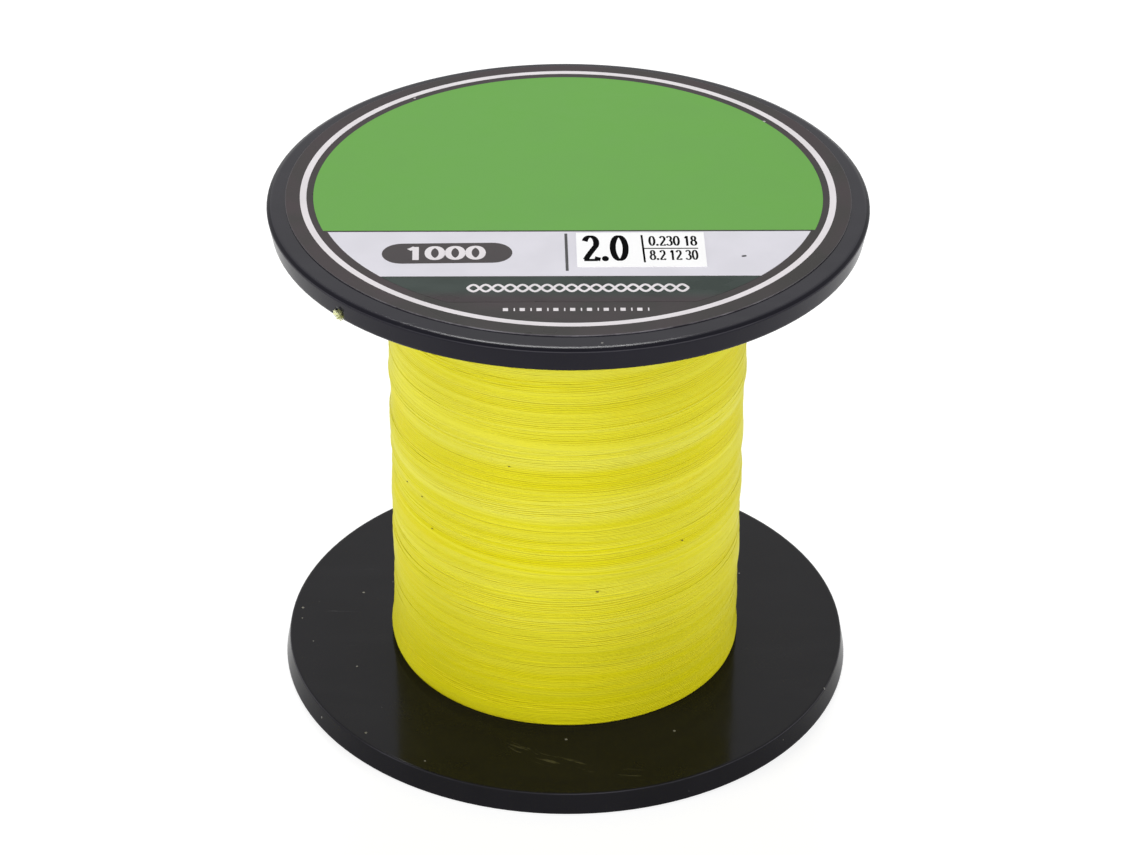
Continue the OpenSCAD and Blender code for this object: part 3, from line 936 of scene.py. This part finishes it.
def plait_row(x0, x1, y, height, count, start):
    """One strand of a plain plait ornament: a sine wave of so many cycles, as a ribbon."""
    t = np.linspace(0, 1, 16 * count + 1)
    a = TAU * count * t + start
    line = np.column_stack([x0 + (x1 - x0) * t, y + 0.5 * height * np.sin(a)])
    along = unit(np.gradient(line, axis=0))
    half_width = 0.20 + 0.06 * along[:, :1] ** 2
    off = np.stack([-along[:, 1], along[:, 0]], axis=-1) * half_width
    return turned(np.concatenate([line - off, (line + off)[::-1]]))


def dash_row(x0, x1, y, height, count):
    """A row of long and short dashes."""
    step = (x1 - x0) / count
    row = []
    for k in range(count):
        width, middle = (0.62, 0.45) if k % 2 == 0 else (0.16, 0.5)
        x, half = x0 + step * (k + middle), step * width / 2
        row.append(turned(bar((x - half, y), (x + half, y), height)))
    return row


def label_print():
    """Everything that is printed on the label."""
    white = printed("ink_white", linear(224, 219, 222), 0.36)
    green = printed("ink_green", linear(93, 157, 58), 0.40, mottle=0.007)
    pale = printed("ink_pale_grey", linear(217, 215, 223), 0.36, mottle=0.02, flecks=0.02)
    dark = printed("ink_dark", linear(46, 39, 41), 0.34)
    line = printed("ink_line", linear(58, 58, 60), 0.34)
    speck = printed("ink_speck", linear(60, 60, 62), 0.4)
    shade = shaded_band("ink_shaded", low_y=-31.5, high_y=-28.5)
    flat_ring("print_ring", PRINT_CENTRE, RING_OUT, RING_IN, *ink_levels(LABEL_TOP), white)
    label_r = (label_high[0] - label_low[0]) / 2
    flat_ring("label_cut_edge", (label_low + label_high)[:2] / 2, label_r + 0.03, label_r - 0.04,
              label_low[2] + 0.005, LABEL_TOP + 0.004, cut_edge_painted_highlight("label_cut_edge"))
    green_field = turned(segment_outline(GREEN_R, GREEN_LOW)) - [0, GREEN_DROP]
    ink("print_green_field", [green_field], green)
    ink("print_pale_band", [turned(segment_outline(FIELD_R, *PALE_BAND))], pale)
    ink("print_shaded_band", [turned(segment_outline(FIELD_R, *SHADED_BAND))], shade)
    pill = pill_outline(np.array([-17.5, -18.15]), 18.9, 5.9, PILL_TURN)
    ink("print_pill", [pill], dark, 1)
    ink("print_divider", [bar((-0.34, -12.1), (-0.08, -23.1), 0.42)], line, 1)
    for k, name in enumerate(("print_plait_a", "print_plait_b")):
        ink(name, [plait_row(-14.8, 16.7, -29.3, 1.9, 9, k * math.pi)], white, 1 + k)
    ink("print_dash_row", dash_row(-9.9, 11.4, -35.35, 0.8, 18), white, 1)
    ink("print_speck", [pill_outline(np.array([25.5, -18.4]), 0.75, 0.5, 0.3)], speck, 1)
    number("print_length_number", "1000", np.array([-23.6, -20.3]), 3.95, 1.24, (0.15, 0.19),
           PILL_TURN, ink_levels(LABEL_TOP, 2), white)


# The sticker's numbers: name, text, where it starts, height, stretch, thin and thick pen
STICKER_NUMBERS = [
    ("sticker_big_number", "2.0", (2.1, -20.45), 7.8, 0.57, (0.085, 0.2)),
    ("sticker_small_number_a", "0.230 18", (11.75, -15.75), 3.0, 0.56, (0.08, 0.2)),
    ("sticker_small_number_b", "8.2 12 30", (11.85, -19.95), 3.0, 0.52, (0.08, 0.2))]


def sticker_print():
    """Numbers and rules on the small sticker."""
    black = printed("sticker_ink", (0.006, 0.006, 0.0065, 1), 0.6, specular=0.0)
    z0, z1 = ink_levels(STICKER_TOP - PRINT_T + STICKER_INK)
    for name, text, at, size, stretch, pen in STICKER_NUMBERS:
        number(name, text, np.array(at), size, stretch, pen, STICKER_TURN, (z0, z1), black)
    rules = [prism(bar((11.12, -20.6), (10.72, -12.5), 0.3), z0, z1),
             prism(bar((11.0, -16.5), (18.9, -16.35), 0.28), z0, z1 - FACE_STEP)]
    lettered("sticker_rules", rules, black)


# ---------------------------------------------------------------- stage

def floor_and_world():
    """Pale floor that the camera sees as white but for the spool's shadow, and a white
    surrounding for what the camera, gloss and glass look at."""
    bpy.ops.mesh.primitive_plane_add(size=3.2)
    floor = bpy.context.object
    floor.name = "floor"
    material, tree, shader = finish_of("floor_pale")
    shader.inputs["Base Color"].default_value = (0.34, 0.34, 0.34, 1)
    shader.inputs["Roughness"].default_value = 0.9
    shader.inputs["Specular IOR Level"].default_value = 0.0
    shader.inputs["Emission Color"].default_value = (1, 1, 1, 1)
    rays = node(tree, "LightPath").outputs
    to_camera = maths(tree, "MULTIPLY", rays["Is Camera Ray"], 0.8)
    in_gloss = maths(tree, "MULTIPLY", rays["Is Glossy Ray"], 0.42)
    wire(tree, shader, Emission_Strength=maths(tree, "ADD", to_camera, in_gloss))
    floor.data.materials.append(material)
    world = bpy.data.worlds.new("studio")
    bpy.context.scene.world = world
    world.use_nodes = True
    tree = world.node_tree
    ambient, white = 0.18, 1.0
    back = tree.nodes["Background"]
    rays = node(tree, "LightPath").outputs
    seen = maths(tree, "MAXIMUM", rays["Is Camera Ray"], rays["Is Glossy Ray"])
    seen = maths(tree, "MAXIMUM", seen, rays["Is Transmission Ray"])
    back.inputs["Color"].default_value = (1, 1, 1, 1)
    strength = ramp(tree, seen, 0, 1, ambient, white, smooth=False)
    tree.links.new(strength, back.inputs["Strength"])


def softbox(name, place_m, aim_m, width, height, power, mirrored=True):
    """Area lamp at a place, turned to its aim, all in metres. One that isn't mirrored leaves
    gloss to see the plain white surrounding instead."""
    lamp = bpy.data.lights.new(name, "AREA")
    lamp.shape = "RECTANGLE"
    lamp.size, lamp.size_y = width, height
    lamp.energy = power
    holder = bpy.data.objects.new(name, lamp)
    bpy.context.scene.collection.objects.link(holder)
    holder.location = place_m
    direction = Vector(aim_m) - Vector(place_m)
    holder.rotation_euler = direction.to_track_quat("-Z", "Y").to_euler()
    holder.visible_glossy = mirrored


def lamps():
    """Soft boxes left and right of the camera, one above and behind the spool, and a fill low
    behind it."""
    middle = (0, 0, 0.045)
    softbox("left_softbox", (-0.97, -0.52, 0.30), middle, 0.5, 0.6, 10.4, mirrored=False)
    softbox("right_softbox", (0.83, -0.69, 0.30), middle, 0.5, 0.6, 9.2, mirrored=False)
    softbox("back_softbox", (-0.03, 0.47, 0.80), middle, 0.26, 0.36, 4.7)
    softbox("fill_softbox", (0.30, 1.05, 0.03), middle, 0.6, 0.09, 6.0, mirrored=False)


def camera():
    """The photograph's viewpoint."""
    data = bpy.data.cameras.new("photo_view")
    data.sensor_width = 36
    data.sensor_fit = "HORIZONTAL"
    data.lens = 107.49
    data.clip_start, data.clip_end = 0.01, 20
    right = Vector((0.999979, 0.002664, 0.005969))
    up = Vector((-0.006469, 0.533704, 0.845646))
    forward = Vector((0.000933, 0.845667, -0.533710))
    eye = bpy.data.objects.new("photo_view", data)
    bpy.context.scene.collection.objects.link(eye)
    turn = Matrix((right, up, -forward)).transposed().to_4x4()
    eye.matrix_world = Matrix.Translation((0, -0.448378, 0.323979)) @ turn
    bpy.context.scene.camera = eye


# ---------------------------------------------------------------- put together

def dress(name, material):
    """Gives a CAD node its material."""
    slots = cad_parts[name].data.materials
    for k in range(len(slots)):
        slots[k] = material


camera()
floor_and_world()
lamps()

black_gloss = moulded("flange_black_gloss", (0.0120, 0.0110, 0.0182, 1), 0.14, 0.205, edge=0.0006,
                      shoulder=(RIM_TOP - 0.34, RIM_TOP - 0.05),
                      painted_highlight=(RIM_TOP - 0.49, RIM_TOP - 0.30))
# The lower flange is the same plastic as the upper one: its darker base colour is painted shade,
# for the shade it lies in under the upper flange
black_lower_painted_shade = moulded("flange_black_lower_painted_shade", (0.0085, 0.0080, 0.0105, 1), 0.12, 0.13, 1.5,
                      edge=0.0005, painted_highlight=(LINE_Z0 - 0.19, LINE_Z0 - 0.03), scuffed=True)
black_tube = moulded("tube_black_satin", (0.028, 0.028, 0.031, 1), 0.38, 0.2, 0.4, 0.00001)
dress("lower_flange", black_lower_painted_shade)
dress("upper_flange", black_gloss)
dress("barrel", moulded("barrel_black", (0.026, 0.026, 0.029, 1), 0.28, 0.2, 0.5))
dress("spindle_tube", black_tube)
dress("end_cap", moulded("cap_black_satin", (0.028, 0.028, 0.031, 1), 0.42, 0.2, 0.6, 0.00001))
dress("label", label_film("label_film"))
dress("size_sticker", printed("sticker_white", (0.96, 0.96, 0.96, 1), 0.4, mottle=0.01))
dress("starter_tape", paper_tape("starter_tape_paper"))

YELLOW = (0.80, 0.765, 0.085, 1)
DEEP_YELLOW = (0.745, 0.685, 0.002, 1)
outer_braid = braid("braid_outer", YELLOW, DEEP_YELLOW)
turn_pieces = outer_turns(outer_braid)
for turn_piece in turn_pieces:
    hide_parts("line_winding")
crossing = crossing_turns(braid("braid_crossing", YELLOW, DEEP_YELLOW, fine=False))
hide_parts("line_winding")
inner = inner_layers(under_braid("braid_under", (0.74, 0.66, 0.012, 1), (0.66, 0.57, 0.006, 1)))
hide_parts("line_core")
end_piece = loose_end(braid("braid_frayed", (0.92, 0.94, 0.66, 1), (0.84, 0.86, 0.42, 1),
                            fine=False))
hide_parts("line_end")
specks_piece = dirt(chip("dirt"))

label_print()
sticker_print()

bpy.context.scene.view_settings.view_transform = "Standard"
